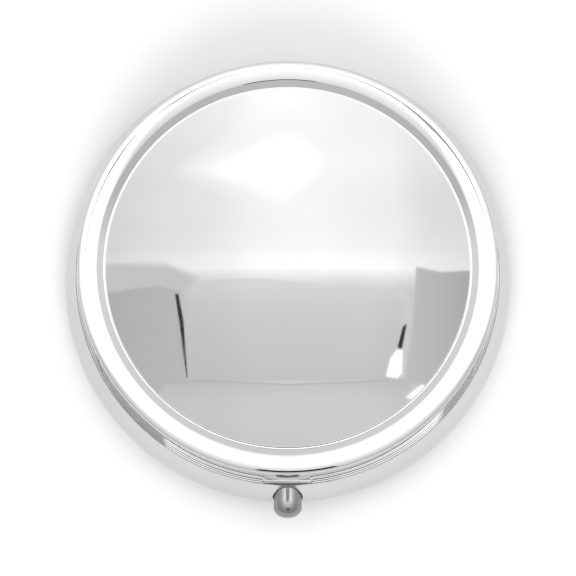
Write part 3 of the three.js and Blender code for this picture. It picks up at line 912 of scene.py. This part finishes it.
def product(tree, a, b):
    node = tree.nodes.new("ShaderNodeMixRGB")
    node.blend_type = "MULTIPLY"
    node.inputs["Fac"].default_value = 1.0
    tree.links.new(a, node.inputs["Color1"])
    tree.links.new(b, node.inputs["Color2"])
    return node.outputs["Color"]


def shown(pairs):
    """Ramp stops from (place on the inlay in mm, display level) pairs."""
    return [((mm + REACH) / (2 * REACH), luminance(level)) for mm, level in pairs]


def canopy_colour(tree, glow):
    """Overhead canopy: brightest above the middle of the lid and faintly cloudy."""
    across, along = inlay_coordinates(tree)
    tall = ramp(tree, along, shown([
        (-3.2, 0.84), (-1.8, 0.93), (-0.8, 1.01), (0.4, 1.0), (1.6, 0.975), (4, 0.965), (8, 0.97),
        (12, 0.985), (20, 0.985),
    ]))
    wide = ramp(tree, across, [
        (0.0, 0.7), (0.07, 0.74), (0.19, 0.8), (0.31, 0.87), (0.4, 0.95), (0.5, 1.0), (0.66, 0.95),
        (0.8, 0.92), (0.9, 0.82), (1.0, 0.77),
    ])
    cloud = to_range(tree, noise(tree, 9.0, 2.0), 0.96, 1.04, 0.3, 0.7)
    tree.links.new(product(tree, tall, wide), glow.inputs["Color"])
    tree.links.new(cloud, glow.inputs["Strength"])


def wall_colour(tree, glow):
    """Studio wall behind the camera, a little brighter in the middle and at the top."""
    across, along = inlay_coordinates(tree)
    tall = ramp(tree, along, shown([
        (-20, 0.785), (-18, 0.8), (-15.5, 0.795), (-13.6, 0.76), (-12, 0.776), (-8, 0.79), (-5, 0.81),
        (-3, 0.84),
    ]))
    wide = ramp(tree, across, [(0.2, 0.92), (0.3, 0.94), (0.4, 1.0), (0.72, 1.0), (0.82, 0.93)])
    tree.links.new(product(tree, tall, wide), glow.inputs["Color"])


def board_colour(tree, glow):
    """Grey side board, darker toward its outer end."""
    across, _ = inlay_coordinates(tree)
    tones = [(-20, 0.68), (-17, 0.7), (-12, 0.72), (12, 0.75), (16, 0.72), (20, 0.67)]
    tree.links.new(ramp(tree, across, shown(tones)), glow.inputs["Color"])


def make_ceiling_panels():
    """Canopy with a soft-edged window in it, and the shade at its left edge."""
    canopy = arc(22.5, 0, 2 * math.pi, 48)[:-1]
    panel("canopy", canopy, 0, 1, 0.8, canopy_colour)
    glow = rounded([(-12.5, 11.2, 1), (0.5, 18.0, 3), (9.5, 13.0, 3), (-0.3, 6.2, 2)], closed=True)
    panel("window_glow", glow, 3, 0.965, 2.2)
    window = rounded([(-9.3, 11.1, 1), (0.3, 15.6, 2), (4.5, 12.3, 2), (-0.3, 7.9, 1.5)], closed=True)
    panel("window", window, 6, 1.02, 1.2)
    shade = rounded([(-22, 0.2, 0), (-14, 0.2, 1), (-10.2, -1.4, 1), (-11, -3, 1), (-22, -3, 0)], closed=True)
    panel("soft_shade", shade, 8, 0.765, 0.7)


def make_wall_panels():
    """Wall behind the camera between two side boards, above a lower wall."""
    wall = rounded([
        (-11.6, -2.2, 2.0), (-8.0, -1.6, 1), (-2.0, -1.6, 2), (5.0, -2.4, 2), (10.5, -3.0, 2),
        (13.3, -3.6, 2), (12.7, -13.4, 0), (-11.0, -13.6, 0),
    ], closed=True)
    panel("wall", wall, 10, 1, 0.5, wall_colour)
    left = [(-22, -3.6), (-18.1, -2.7), (-14.8, -2.3), (-12.4, -2.9), (-11.6, -13.5), (-15, -22), (-22, -22)]
    panel("side_board_left", left, 14, 1, 0.12, board_colour)
    right = [(14.7, -0.1), (17.4, -0.7), (22, -0.4), (22, -14), (17.4, -15.4), (13.3, -13.0), (14.2, -7.2)]
    panel("side_board_right", right, 14, 1, 0.12, board_colour)
    low_wall = rounded([
        (-14.6, -13.5, 1.5), (-8, -13.5, 1), (0, -13.9, 1), (8, -13.6, 1), (14.3, -12.9, 1.5),
        (14.6, -22, 0), (-14, -22, 0),
    ], closed=True)
    panel("low_wall", low_wall, 18, 1, 0.1, wall_colour)


def make_small_panels():
    """Gap above the low wall, dark board edges, and two small lights at the right."""
    gap = [(-14.2, -13.3), (-8, -13.3), (0, -13.7), (8, -13.4), (11.4, -13.1)]
    gap += [(x, y - 0.18) for x, y in reversed(gap)]
    panel("wall_gap", gap, 20, 0.7, 0.06)
    slit = [(-12.9, -3.3), (-12.5, -3.3), (-11.9, -6.4), (-11.4, -13.0), (-11.5, -13.0), (-12.4, -6.4)]
    panel("board_edge_left", slit, 30, 0.15, 0.05)
    slit = [(13.6, -6.7), (13.1, -7.1), (12.5, -9.5), (13.0, -9.6)]
    panel("board_edge_right", slit, 30, 0.12, 0.05)
    bright = [(12.4, -9.7), (13.1, -9.8), (13.0, -12.4), (12.5, -13.0), (11.2, -12.8), (11.7, -10.7)]
    panel("small_light", bright, 30, 1.03, 0.12)
    streak = [(13.4, -15.2), (14.0, -15.2), (15.6, -13.8), (15.2, -13.6)]
    panel("streak", streak, 30, 1.03, 0.1)


def make_key_light():
    """Large soft light on the camera's side; it lights the paper but does not show in the polish."""
    data = bpy.data.lights.new("key", "AREA")
    data.shape = "DISK"
    data.size = 0.7
    data.energy = 9.0
    light = bpy.data.objects.new("key", data)
    bpy.context.scene.collection.objects.link(light)
    light.location = KEY_PLACE
    light.rotation_mode = "QUATERNION"
    light.rotation_quaternion = (-KEY_PLACE).to_track_quat("-Z", "Y")
    light.visible_glossy = False
    light.visible_camera = False


def make_floor():
    bm = bmesh.new()
    bmesh.ops.create_grid(bm, x_segments=8, y_segments=8, size=FLOOR_HALF)
    mat, tree, bsdf = material("pale_paper")
    tone = noise(tree, 30.0, 3.0)
    tree.links.new(ramp(tree, tone, [(0.3, 0.53), (0.7, 0.55)]), bsdf.inputs["Base Color"])
    bsdf.inputs["Roughness"].default_value = 0.95
    make_object(bm, "floor", mat)


def make_world():
    """A pale studio: bright overhead, greyer round the horizon on the camera's side than behind."""
    world = bpy.data.worlds.new("studio")
    bpy.context.scene.world = world
    world.use_nodes = True
    tree = world.node_tree
    tree.nodes.clear()
    out = tree.nodes.new("ShaderNodeOutputWorld")
    background = tree.nodes.new("ShaderNodeBackground")
    coords = tree.nodes.new("ShaderNodeTexCoord")
    split = tree.nodes.new("ShaderNodeSeparateXYZ")
    mix = tree.nodes.new("ShaderNodeMixRGB")
    tree.links.new(coords.outputs["Generated"], split.inputs["Vector"])
    front = [
        (0.0, 0.5), (0.05, 0.75), (0.3, 0.8), (0.52, 0.82), (0.74, 1.05), (0.87, 1.3), (0.93, 1.5),
        (1.0, 1.8),
    ]
    around = [(0.0, 0.95), (0.26, 1.1), (0.5, 1.25), (0.61, 1.4), (0.68, 1.8), (0.8, 2.2), (0.88, 3.2)]
    tree.links.new(ramp(tree, split.outputs["Z"], front), mix.inputs["Color1"])
    tree.links.new(ramp(tree, split.outputs["Z"], around), mix.inputs["Color2"])
    tree.links.new(to_range(tree, split.outputs["Y"], 0, 1, -0.2, 0.1), mix.inputs["Fac"])
    tree.links.new(mix.outputs["Color"], background.inputs["Color"])
    tree.links.new(background.outputs["Background"], out.inputs["Surface"])


make_camera()
make_ceiling_panels()
make_wall_panels()
make_small_panels()
make_flag()
make_key_light()
make_floor()
make_world()
bpy.context.scene.view_settings.view_transform = "Standard"
